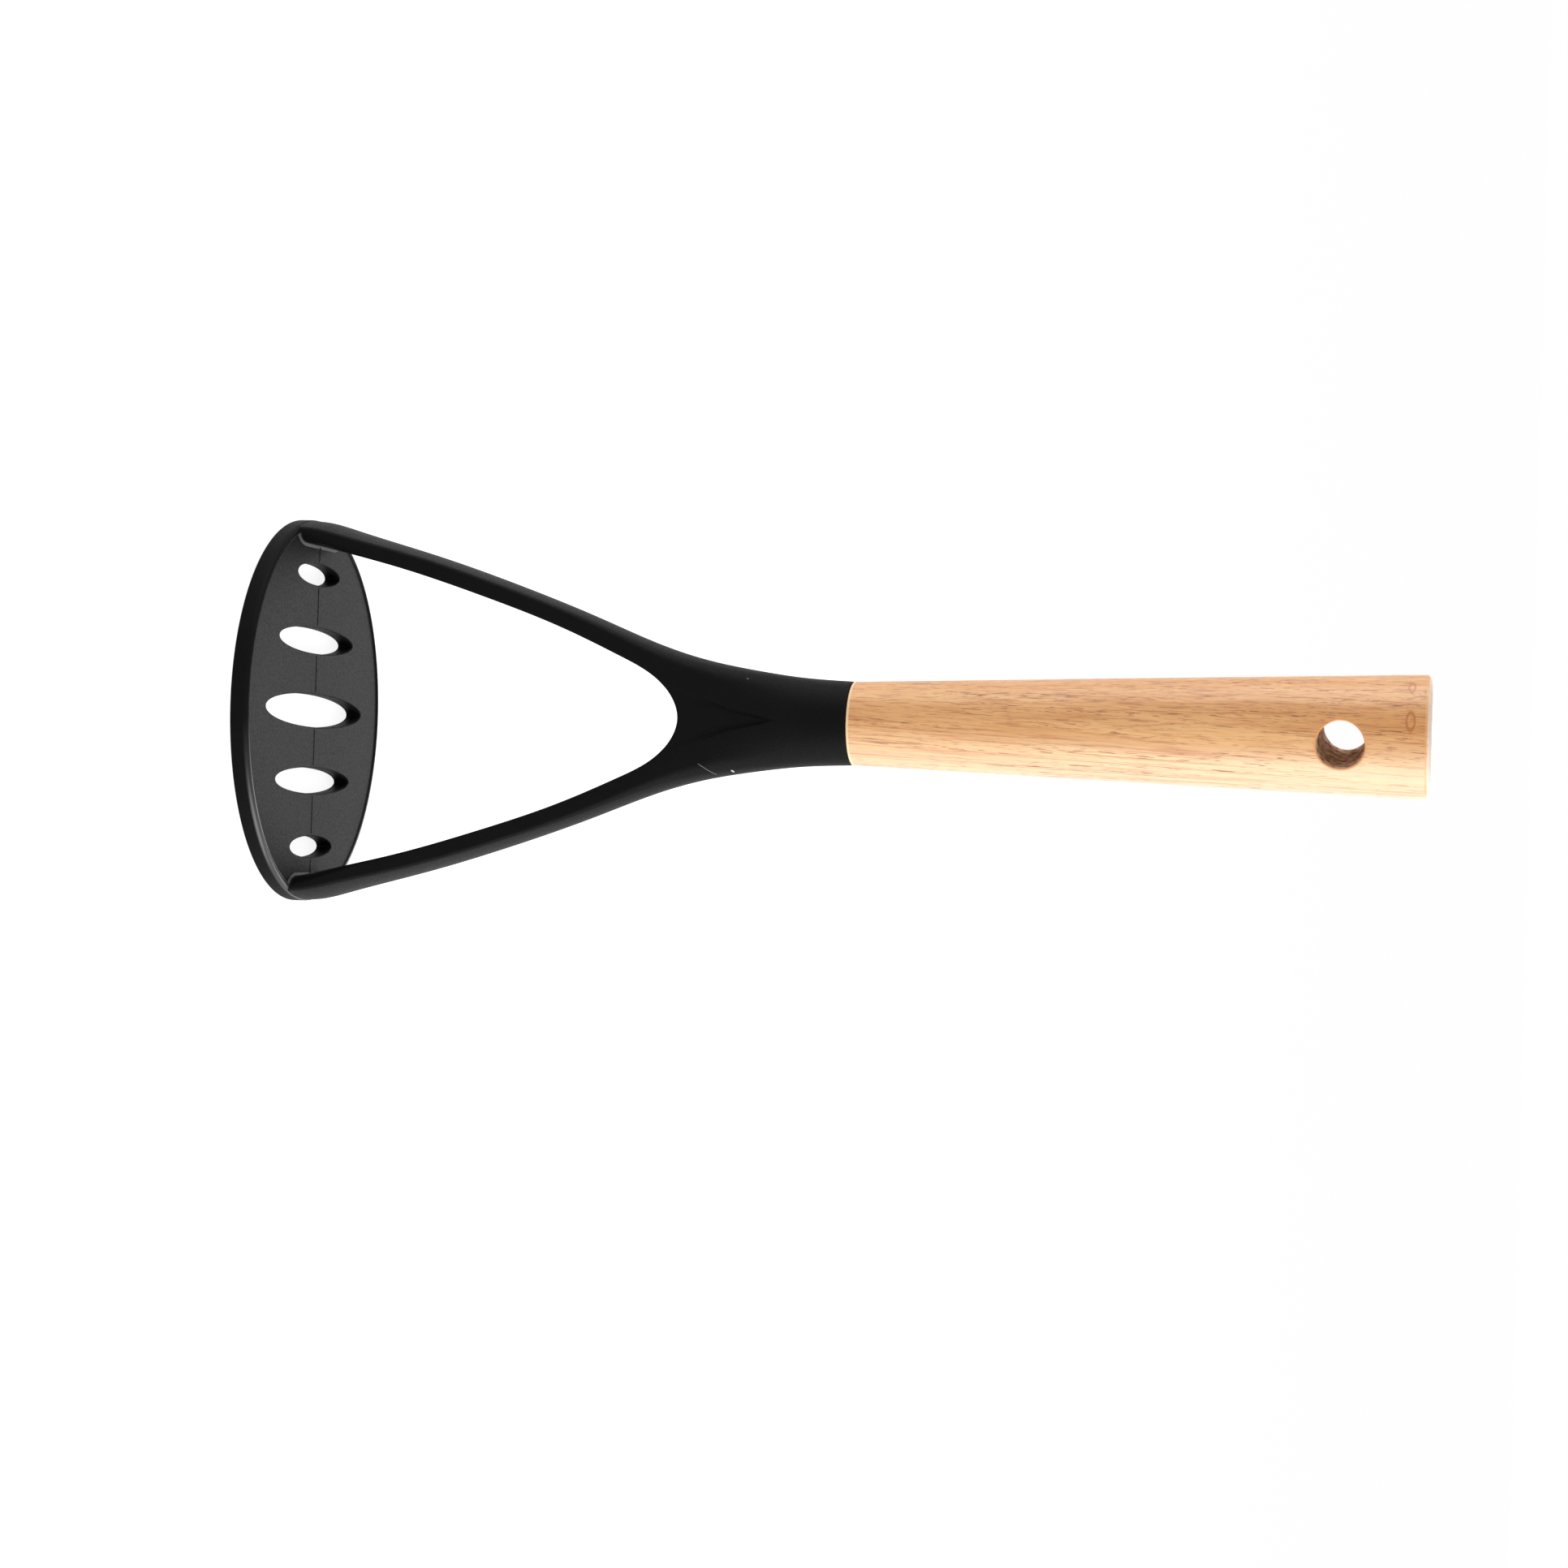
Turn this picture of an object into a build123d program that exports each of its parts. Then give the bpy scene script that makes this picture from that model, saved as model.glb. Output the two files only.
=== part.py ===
from build123d import *
import math
import os

# A kitchen masher: a moulded nylon head on a turned wooden handle.
# Lengths are in millimetres. Z runs up the handle from the underside of the mashing disc,
# X runs across the two arms, and the front of the masher is towards -Y.

# Whole masher
overall_length = 250.0
head_height = 126.5

# Mashing disc: a flat web inside a low rounded lip
disc_diameter = 85.0
web_thickness = 3.6
lip_height = 0.4
lip_crest_width = 0.9
lip_flank_width = 0.8
lip_edge_chamfer = 0.5
disc_bottom_chamfer = 0.5
parting_ridge_width = 0.5
parting_ridge_height = 0.15

# Slots in the disc, from the middle one outwards: three sizes, five slots
slot_place_shares = (0.0, 0.423, 0.822)
slot_widths = (7.4, 5.8, 4.8)
slot_end_margins = (12.2, 16.2, 16.6)
slot_edge_chamfer = 0.3

# Arms and neck: one moulded fork that closes into a round collar
collar_diameter = 18.2
collar_end_chamfer = 0.45
arm_thickness = 5.5
arm_inset = 0.15
root_half_depth = 14.6
waist_half_depth = 7.7
arm_edge_radius = 1.6
arm_inner_edge_chamfer = 0.5
root_fillet_radius = 1.2
neck_length = 37.6

# Stations up the fork, from inside the disc to the collar. The heights are shares of the
# fork's height, and the reaches shares of what the disc stands out beyond the collar.
# The arm depths are shares of root less waist, and the neck depths of collar less waist.
# Roundness is the share by which an edge grows from the arm's edge to a full round, and
# crown is how nearly the front of the section follows the round of its ends.
station_height_shares = (0.0, 0.034, 0.083, 0.237, 0.390, 0.541, 0.653, 0.738, 0.825, 0.911, 1.0)
station_reach_shares = (1.0, 0.9885, 0.943, 0.780, 0.593, 0.382, 0.2156, 0.121, 0.060, 0.018, 0.0)
arm_depth_shares = (1.0, 0.93, 0.78, 0.40, 0.20, 0.03, 0.0)
neck_depth_shares = (0.09, 0.53, 1.0, 1.0)
roundness_shares = (0.0, 0.0, 0.0, 0.0, 0.0, 0.06, 0.20, 0.38, 0.60, 0.90, 1.0)
crown_shares = (0.02, 0.02, 0.02, 0.02, 0.02, 0.03, 0.06, 0.20, 0.60, 0.94, 1.0)
round_end_angle = 12.0
round_side_angle = 38.0

# Inside of the fork, from the disc up to the crotch: heights as shares of the crotch's
# height over the web, and half widths as shares of the half width at the web.
inside_height_shares = (0.26, 0.475, 0.69, 0.85, 0.959)
inside_width_shares = (0.853, 0.699, 0.519, 0.353, 0.195)

# Shallow pocket in the web between the two arms, front and back: it starts below the crotch,
# where it is wider than the opening, and runs out to a point up the neck.
pocket_depth = 0.45
pocket_above_crotch = 20.8
pocket_foot_share = 1.15
pocket_height_shares = (0.12, 0.30, 0.62)
pocket_width_shares = (0.84, 0.60, 0.30)
pocket_floor_share = 0.42

# Barbed tang of the head, which is glued into the handle
tang_length = 32.0
tang_core_diameter = 9.2
tang_barb_diameter = 10.2
tang_barb_count = 2
tang_barb_length = 12.0
tang_first_barb = 5.0
tang_tip_chamfer = 1.2
tang_root_overlap = 2.0

# Handle
butt_diameter = 26.2
butt_edge_radius = 1.6
handle_mouth_chamfer = 0.45
bore_diameter = 10.8
bore_end_room = 1.6
drill_point_angle = 118.0
hang_hole_diameter = 10.0
hang_hole_below_butt = 18.6
hang_hole_turn = 11.5
hang_hole_chamfer = 0.4

# Glue in the joint
glue_length = 30.0
glue_skin_gap = 0.04

# What every cut runs past the part
overrun = 5.0

# Worked out from the sizes above
disc_radius = disc_diameter / 2
rim_height = web_thickness + lip_height
collar_radius = collar_diameter / 2
inner_half_width = disc_radius - arm_thickness
slot_places = [inner_half_width * share for share in slot_place_shares]
fork_foot = web_thickness / 2
fork_height = head_height - fork_foot
crotch_height = head_height - neck_length
pocket_top = crotch_height + pocket_above_crotch
tang_core_radius = tang_core_diameter / 2
tang_barb_radius = tang_barb_diameter / 2
tang_tip = head_height + tang_length
bore_radius = bore_diameter / 2
bore_end = tang_tip + bore_end_room
drill_point_height = bore_radius / math.tan(math.radians(drill_point_angle / 2))
butt_radius = butt_diameter / 2
hang_hole_height = overall_length - hang_hole_below_butt


def arm_section(height, reach, depth, edge, crown):
    """Cross-section of the fork: round ends, a gently crowned front and back, rounded edges."""
    if crown < 1:
        front_radius = reach / crown
        front_centre = depth - front_radius
        to_end = reach - edge
        to_front = front_radius - edge
        edge_y = (front_centre**2 - to_front**2 + to_end**2) / (2 * front_centre)
        edge_x = math.sqrt(to_end**2 - edge_y**2)
        end_angle = math.degrees(math.atan2(edge_y, edge_x))
        side_angle = math.degrees(math.atan2(edge_y - front_centre, edge_x))
    else:
        front_radius = edge = reach
        front_centre = edge_x = edge_y = 0
        end_angle = round_end_angle
        side_angle = round_side_angle
    turn = side_angle - end_angle
    span = 180 - 2 * side_angle
    arcs = [
        CenterArc((0, 0), reach, -end_angle, 2 * end_angle),
        CenterArc((edge_x, edge_y), edge, end_angle, turn),
        CenterArc((0, front_centre), front_radius, side_angle, span),
        CenterArc((-edge_x, edge_y), edge, 180 - side_angle, turn),
        CenterArc((0, 0), reach, 180 - end_angle, 2 * end_angle),
        CenterArc((-edge_x, -edge_y), edge, 180 + end_angle, turn),
        CenterArc((0, -front_centre), front_radius, 180 + side_angle, span),
        CenterArc((edge_x, -edge_y), edge, -side_angle, turn),
    ]
    return Plane.XY.offset(height) * make_face(arcs)


# Depth, reach and edge of the fork at each station
station_depths = [waist_half_depth + (root_half_depth - waist_half_depth) * s for s in arm_depth_shares]
station_depths += [waist_half_depth + (collar_radius - waist_half_depth) * s for s in neck_depth_shares]
fork_sections = []
for height_share, reach_share, depth, roundness, crown in zip(
    station_height_shares, station_reach_shares, station_depths, roundness_shares, crown_shares
):
    reach = collar_radius + (disc_radius - arm_inset - collar_radius) * reach_share
    edge = arm_edge_radius + (depth - arm_edge_radius) * roundness
    height = fork_foot + fork_height * height_share
    fork_sections.append(arm_section(height, reach, depth, edge, crown))

# The opening between the arms, seen from the front, and its two lower corners
inside_rise = crotch_height - web_thickness
inside_points = [
    (inner_half_width * w, web_thickness + inside_rise * h)
    for w, h in zip(inside_width_shares, inside_height_shares)
]
with BuildSketch(Plane.XZ.offset(disc_radius)) as fork_opening:
    with BuildLine():
        right_side = Spline(
            (inner_half_width, web_thickness), *inside_points, (0, crotch_height),
            tangents=((inside_points[0][0] - inner_half_width, inside_points[0][1] - web_thickness), (-1, 0)),
        )
        mirror(right_side, about=Plane.YZ)
        Line((-inner_half_width, web_thickness), (inner_half_width, web_thickness))
    make_face()
    fillet(fork_opening.vertices().group_by(Axis.Y)[0], root_fillet_radius)

# Pocket between the arms: its outline from the front, cut to a floor seen from the side
pocket_half_width = inner_half_width * inside_width_shares[-1] * pocket_foot_share
pocket_foot = web_thickness + inside_rise * inside_height_shares[-1]
pocket_rise = pocket_top - pocket_foot
pocket_points = [
    (pocket_half_width * w, pocket_foot + pocket_rise * h)
    for w, h in zip(pocket_width_shares, pocket_height_shares)
]
pocket_floor = waist_half_depth - pocket_depth
with BuildPart() as web_pocket:
    with BuildSketch(Plane.XZ):
        with BuildLine():
            right_leg = Spline((pocket_half_width, pocket_foot), *pocket_points, (0, pocket_top))
            mirror(right_leg, about=Plane.YZ)
            Line((-pocket_half_width, pocket_foot), (pocket_half_width, pocket_foot))
        make_face()
    extrude(amount=disc_radius, both=True)
    with BuildSketch(Plane.YZ):
        with BuildLine():
            near_floor = Spline(
                (pocket_floor, pocket_foot - overrun),
                (pocket_floor, pocket_foot + pocket_rise * pocket_floor_share),
                (collar_radius, pocket_top),
                tangents=((0, 1), (collar_radius - pocket_floor, pocket_rise * (1 - pocket_floor_share))),
            )
            Polyline(
                near_floor @ 1, (collar_radius, pocket_top + overrun), (disc_radius, pocket_top + overrun),
                (disc_radius, pocket_foot - overrun), near_floor @ 0,
            )
        make_face()
        mirror(about=Plane.YZ)
    extrude(amount=pocket_half_width, both=True, mode=Mode.INTERSECT)

# Disc from its centre out to the lip, seen from the side
lip_crest = disc_radius - lip_crest_width
with BuildSketch(Plane.XZ) as disc_profile:
    with BuildLine():
        Polyline(
            (0, 0), (disc_radius, 0), (disc_radius, rim_height), (lip_crest, rim_height),
            (lip_crest - lip_flank_width, web_thickness), (0, web_thickness), close=True,
        )
    make_face()
    chamfer(disc_profile.vertices().group_by(Axis.X)[-1].sort_by(Axis.Y)[0], disc_bottom_chamfer)
    chamfer(disc_profile.vertices().group_by(Axis.X)[-1].sort_by(Axis.Y)[-1], lip_edge_chamfer)

# Five slots, and how far a slot is wider than its waist at each level through the web
slots = list(zip(slot_places, slot_widths, slot_end_margins))
slots += [(-place, width, end_margin) for place, width, end_margin in slots[1:]]
slot_levels = (
    (-overrun, slot_edge_chamfer),
    (0, slot_edge_chamfer),
    (slot_edge_chamfer, 0),
    (web_thickness - slot_edge_chamfer, 0),
    (web_thickness, slot_edge_chamfer),
    (web_thickness + overrun, slot_edge_chamfer),
)

# Ridge left by the parting of the mould, on the plain stretches between the slots
ridge_ends = []
for place, width in zip(slot_places, slot_widths):
    ridge_ends += [place - width / 2 - slot_edge_chamfer, place + width / 2 + slot_edge_chamfer]
ridge_spans = list(zip(ridge_ends[1::2], ridge_ends[2::2] + [inner_half_width]))

# Tang from its axis out to the barbs, which taper towards its tip
tang_points = [(0, head_height - tang_root_overlap), (tang_core_radius, head_height - tang_root_overlap)]
for i in range(tang_barb_count):
    barb_foot = head_height + tang_first_barb + tang_barb_length * i
    tang_points += [(tang_core_radius, barb_foot), (tang_barb_radius, barb_foot)]
barb_end = head_height + tang_first_barb + tang_barb_length * tang_barb_count
tang_points += [(tang_core_radius, barb_end)]
tang_points += [
    (tang_core_radius, tang_tip - tang_tip_chamfer),
    (tang_core_radius - tang_tip_chamfer, tang_tip),
    (0, tang_tip),
]
with BuildSketch(Plane.XZ) as tang_profile:
    with BuildLine():
        Polyline(*tang_points, close=True)
    make_face()

# Mashing head: disc, arms, neck and tang in one moulding
with BuildPart() as masher_head:
    loft(sections=fork_sections)
    chamfer(masher_head.faces().sort_by(Axis.Z)[-1].edges(), collar_end_chamfer)
    extrude(fork_opening.sketch, amount=-disc_diameter, mode=Mode.SUBTRACT)
    chamfer(masher_head.edges(Select.LAST).filter_by(GeomType.LINE, reverse=True), arm_inner_edge_chamfer)
    add(web_pocket.part, mode=Mode.SUBTRACT)
    revolve(disc_profile.sketch, axis=Axis.Z)
    for place, width, end_margin in slots:
        half_length = math.sqrt(disc_radius**2 - place**2) - end_margin
        for level, widening in slot_levels:
            with BuildSketch(Plane.XY.offset(level)):
                with Locations((place, 0)):
                    Ellipse(width / 2 + widening, half_length + widening)
        loft(ruled=True, mode=Mode.SUBTRACT)
    with BuildSketch(Plane.XY.offset(web_thickness)):
        for start, end in ridge_spans:
            with Locations(((start + end) / 2, 0), (-(start + end) / 2, 0)):
                Rectangle(end - start, parting_ridge_width)
    extrude(amount=parting_ridge_height)
    revolve(tang_profile.sketch, axis=Axis.Z)
masher_head.part.label = "masher_head"

# Handle: turned wood with a blind bore for the tang and a hole to hang it by
with BuildPart() as wooden_handle:
    with BuildSketch(Plane.XZ):
        with BuildLine():
            Polyline(
                (0, head_height), (collar_radius, head_height), (butt_radius, overall_length),
                (0, overall_length), close=True,
            )
        make_face()
    revolve(axis=Axis.Z)
    fillet(wooden_handle.faces().sort_by(Axis.Z)[-1].edges(), butt_edge_radius)
    chamfer(wooden_handle.faces().sort_by(Axis.Z)[0].edges(), handle_mouth_chamfer)
    with BuildSketch(Plane.XZ):
        with BuildLine():
            Polyline(
                (0, head_height - overrun), (bore_radius, head_height - overrun), (bore_radius, bore_end),
                (0, bore_end + drill_point_height), close=True,
            )
        make_face()
    revolve(axis=Axis.Z, mode=Mode.SUBTRACT)
    hang_hole_axis = (
        math.sin(math.radians(hang_hole_turn)), -math.cos(math.radians(hang_hole_turn)), 0
    )
    with BuildSketch(Plane((0, 0, hang_hole_height), z_dir=hang_hole_axis)):
        Circle(hang_hole_diameter / 2)
    extrude(amount=butt_radius + overrun, both=True, mode=Mode.SUBTRACT)
    chamfer(wooden_handle.edges(Select.LAST).filter_by(GeomType.LINE, reverse=True), hang_hole_chamfer)
wooden_handle.part.label = "wooden_handle"

# Glue that fills the bore round the tang
with BuildPart() as adhesive_bond:
    with BuildSketch(Plane.XZ):
        with Locations((0, head_height + glue_skin_gap)):
            Rectangle(bore_radius - glue_skin_gap, glue_length, align=(Align.MIN, Align.MIN))
        offset(tang_profile.sketch, amount=glue_skin_gap, kind=Kind.INTERSECTION, mode=Mode.SUBTRACT)
    revolve(axis=Axis.Z)
adhesive_bond.part.label = "adhesive_bond"

os.makedirs("parts", exist_ok=True)
export_step(masher_head.part, "parts/masher_head.step")
export_step(wooden_handle.part, "parts/wooden_handle.step")
export_step(adhesive_bond.part, "parts/adhesive_bond.step")
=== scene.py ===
"""A kitchen masher that stands on its slotted disc, built and dressed for its picture.

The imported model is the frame. The nylon head and the wooden handle are built again as fine, smooth
skins in the places of their solids, and the glue inside the handle keeps its solid. Sizes are in
millimetres, and meshes are written in metres. Z runs up the handle, X across the two arms, and the
front is towards -Y.
"""
import logging
import math
from collections.abc import Callable
from dataclasses import dataclass
from enum import Enum
from functools import cache, cached_property

import bmesh
import bpy
import numpy as np
from mathutils import Matrix, Vector


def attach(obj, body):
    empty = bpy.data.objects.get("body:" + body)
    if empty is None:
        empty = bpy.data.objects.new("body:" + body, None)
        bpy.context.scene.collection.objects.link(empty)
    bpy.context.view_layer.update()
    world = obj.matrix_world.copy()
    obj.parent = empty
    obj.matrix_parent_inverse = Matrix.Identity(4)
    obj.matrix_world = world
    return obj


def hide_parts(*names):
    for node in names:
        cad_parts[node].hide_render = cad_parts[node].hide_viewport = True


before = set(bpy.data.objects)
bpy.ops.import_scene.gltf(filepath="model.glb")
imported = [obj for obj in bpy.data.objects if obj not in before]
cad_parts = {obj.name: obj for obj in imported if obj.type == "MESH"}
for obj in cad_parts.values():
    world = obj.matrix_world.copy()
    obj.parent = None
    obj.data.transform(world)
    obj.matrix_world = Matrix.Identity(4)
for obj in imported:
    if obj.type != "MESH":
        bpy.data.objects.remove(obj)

LOG = logging.getLogger("masher")
ROOT = "root"
MM = 0.001
SAME_POINT = 1e-4
ROUND_STEPS = 6
WHITE = (1, 1, 1, 1)

# Sizes that more than one piece or finish goes by
WEB_TOP = 3.6
DISC_RADIUS = 42.5
INNER_HALF_WIDTH = 37.0
SEAM_RADIUS = 9.1
SEAM_HEIGHT = 126.5
BUTT_HEIGHT = 250.0
HOLE_RADIUS = 5.0
HOLE_HEIGHT = 231.4
HOLE_TURN = 11.5
POCKET_HEIGHTS = (84.0, 91.5, 95.5, 99.9, 104.7, 108.3, 110.4)
POCKET_HALVES = (8.2, 5.5, 4.1, 2.55, 1.5, 0.8, 0.0)

Curve = Callable[[float | np.ndarray], np.ndarray]
Socket = bpy.types.NodeSocket
Material = bpy.types.Material


class Quarter(Enum):
    """The four mirrored quarters of the head, as signs of X and of depth towards the front."""

    FRONT_RIGHT = (1, 1)
    FRONT_LEFT = (-1, 1)
    BACK_RIGHT = (1, -1)
    BACK_LEFT = (-1, -1)


class Blend(Enum):
    """How two colours mix in a material."""

    MIX = "MIX"
    MULTIPLY = "MULTIPLY"


def smooth_curve(xs: np.ndarray, ys: np.ndarray, ends: tuple | None = None) -> Curve:
    """Makes a cubic curve through points, with an even bend.

    Args:
        xs: where the points lie, rising.
        ys: values there, one row for each point.
        ends: slopes at the two ends, or None to leave the ends straight.

    Returns:
        A function from places to values.
    """
    xs = np.asarray(xs, float)
    ys = np.asarray(ys, float)
    n = len(xs)
    h = np.diff(xs)
    secants = (np.diff(ys, axis=0).T / h).T
    rows = np.zeros((n, n))
    sides = np.zeros_like(ys)
    for i in range(1, n - 1):
        rows[i, i - 1:i + 2] = h[i], 2 * (h[i - 1] + h[i]), h[i - 1]
        sides[i] = 3 * (h[i] * secants[i - 1] + h[i - 1] * secants[i])
    if ends is None:
        rows[0, :2] = 2, 1
        rows[-1, -2:] = 1, 2
        sides[0] = 3 * secants[0]
        sides[-1] = 3 * secants[-1]
    else:
        rows[0, 0] = rows[-1, -1] = 1
        sides[0], sides[-1] = ends
    slopes = np.linalg.solve(rows, sides)
    return lambda at: _hermite(xs, ys, slopes, at)


def steady_curve(xs: np.ndarray, ys: np.ndarray) -> Curve:
    """Makes a cubic curve through points that never swings past them.

    Args:
        xs: where the points lie, rising.
        ys: values there.

    Returns:
        A function from places to values.
    """
    xs = np.asarray(xs, float)
    ys = np.asarray(ys, float)
    secants = np.diff(ys) / np.diff(xs)
    slopes = np.zeros_like(ys)
    slopes[0], slopes[-1] = secants[0], secants[-1]
    for i in range(1, len(xs) - 1):
        if secants[i - 1] * secants[i] > 0:
            slopes[i] = 2 * secants[i - 1] * secants[i] / (secants[i - 1] + secants[i])
    return lambda at: _hermite(xs, ys, slopes, at)


def _hermite(xs: np.ndarray, ys: np.ndarray, slopes: np.ndarray, at: float | np.ndarray) -> np.ndarray:
    """Reads a cubic curve.

    Args:
        xs: where its points lie, rising.
        ys: values there.
        slopes: slopes there.
        at: the places to read it at.

    Returns:
        The values at those places.
    """
    at = np.asarray(at, float)
    i = np.clip(np.searchsorted(xs, at, side="right") - 1, 0, len(xs) - 2)
    h = xs[i + 1] - xs[i]
    u = (at - xs[i]) / h
    if ys.ndim > 1:
        h = h[..., None]
        u = u[..., None]
    return (
        (1 + 2 * u) * (1 - u) ** 2 * ys[i] + u * (1 - u) ** 2 * h * slopes[i]
        + u * u * (3 - 2 * u) * ys[i + 1] + u * u * (u - 1) * h * slopes[i + 1]
    )


def soft_step(low: float, high: float, value: float) -> float:
    """Rises softly from 0 at low to 1 at high."""
    u = min(max((value - low) / (high - low), 0.0), 1.0)
    return u * u * (3 - 2 * u)


def step_lengths(points: np.ndarray) -> np.ndarray:
    """Measures how far along a line of points each one lies."""
    return np.concatenate([[0], np.cumsum(np.linalg.norm(np.diff(points, axis=0), axis=1))])


def rounding(radius: float, steps: int = ROUND_STEPS, first: int = 0) -> list[tuple[float, float]]:
    """Walks round a quarter of a rounded edge.

    Args:
        radius: the edge's radius.
        steps: how many steps the quarter takes.
        first: step to start at, which is 1 where the start is there already.

    Returns:
        How far each point lies inside the two faces that meet at the edge, from (radius, 0) to
        (0, radius).
    """
    turns = [math.pi / 2 * i / steps for i in range(first, steps + 1)]
    return [(radius * (1 - math.sin(turn)), radius * (1 - math.cos(turn))) for turn in turns]


def directions(turns: np.ndarray) -> list[tuple[float, float]]:
    """Turns angles round Z into directions in X and Y."""
    return [(math.cos(turn), math.sin(turn)) for turn in turns]


def link(name: str, data: bpy.types.ID) -> bpy.types.Object:
    """Makes an object and links it to the scene.

    Args:
        name: the object's name.
        data: its mesh, lamp or camera.

    Returns:
        The object.
    """
    piece = bpy.data.objects.new(name, data)
    bpy.context.scene.collection.objects.link(piece)
    return piece


def dress(piece: bpy.types.Object, node: str, slot: str, *materials: Material) -> bpy.types.Object:
    """Puts a piece in a node's place, with its materials.

    Args:
        piece: the piece.
        node: the node that it takes the place of.
        slot: not used.
        *materials: its materials, in the order of its faces' numbers for them.

    Returns:
        The piece.
    """
    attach(piece, ROOT)
    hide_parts(node)
    for material in materials:
        piece.data.materials.append(material)
    return piece


class Skin:
    """A skin in the making, whose points are given in millimetres and written in metres."""

    def __init__(self) -> None:
        """Starts an empty skin."""
        self.work = bmesh.new()
        self.points: list[bmesh.types.BMVert] = []

    def add(self, points: np.ndarray | list) -> np.ndarray:
        """Adds rows of points.

        Args:
            points: the rows.

        Returns:
            The points' numbers, in the same rows.
        """
        places = np.asarray(points, float)
        first = len(self.points)
        self.points += [self.work.verts.new(place) for place in places.reshape(-1, 3) * MM]
        return np.arange(first, len(self.points)).reshape(places.shape[:-1])

    def spin(
        self, profile: list, spokes: np.ndarray | list, half: tuple = (0.0, 0.0), centre: float = 0.0
    ) -> np.ndarray:
        """Adds rings of points round the Z axis, or round the wall of a long hole.

        Args:
            profile: each ring's radius, or how much wider than the hole it is, and its Z.
            spokes: directions from the middle, one for each point of a ring.
            half: half of the hole's width and length.
            centre: X of the hole's middle.

        Returns:
            The points' numbers, with a row for each ring.
        """
        return self.add([
            [(centre + (half[0] + r) * x, (half[1] + r) * y, z) for x, y in spokes] for r, z in profile
        ])

    def weave(
        self, rows: np.ndarray, closed: bool = False, keep: Callable[[int], bool] | None = None,
        finish: int = 0,
    ) -> None:
        """Joins rows of point numbers with four-sided faces.

        Args:
            rows: point numbers, one row after another.
            closed: whether each row runs round in a ring.
            keep: says for a column whether its faces are made.
            finish: which of the piece's materials the faces take.
        """
        width = rows.shape[1]
        for low, high in zip(rows[:-1], rows[1:]):
            for j in range(width if closed else width - 1):
                if keep is None or keep(j):
                    k = (j + 1) % width
                    corners = [self.points[n] for n in (low[j], low[k], high[k], high[j])]
                    self.work.faces.new(corners).material_index = finish

    def fill(self, rims: list[np.ndarray]) -> None:
        """Fills the flat area between rings with triangles.

        Args:
            rims: point numbers of the rings, the outer one and those of its holes.
        """
        pairs = (pair for rim in rims for pair in zip(rim, np.roll(rim, -1)))
        edges = [self.work.edges.get([self.points[n] for n in pair]) for pair in pairs]
        bmesh.ops.triangle_fill(self.work, use_beauty=True, use_dissolve=False, edges=edges)

    def build(self, name: str) -> bpy.types.Object:
        """Turns the skin into an object with all faces outwards and smooth.

        Args:
            name: the object's name.

        Returns:
            The new object, linked to the scene.
        """
        work = self.work
        bmesh.ops.remove_doubles(work, verts=work.verts, dist=SAME_POINT * MM)
        bmesh.ops.dissolve_degenerate(work, dist=SAME_POINT * MM, edges=work.edges)
        bmesh.ops.recalc_face_normals(work, faces=work.faces)
        for face in work.faces:
            face.smooth = True
        mesh = bpy.data.meshes.new(name)
        work.to_mesh(mesh)
        work.free()
        return link(name, mesh)


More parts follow.
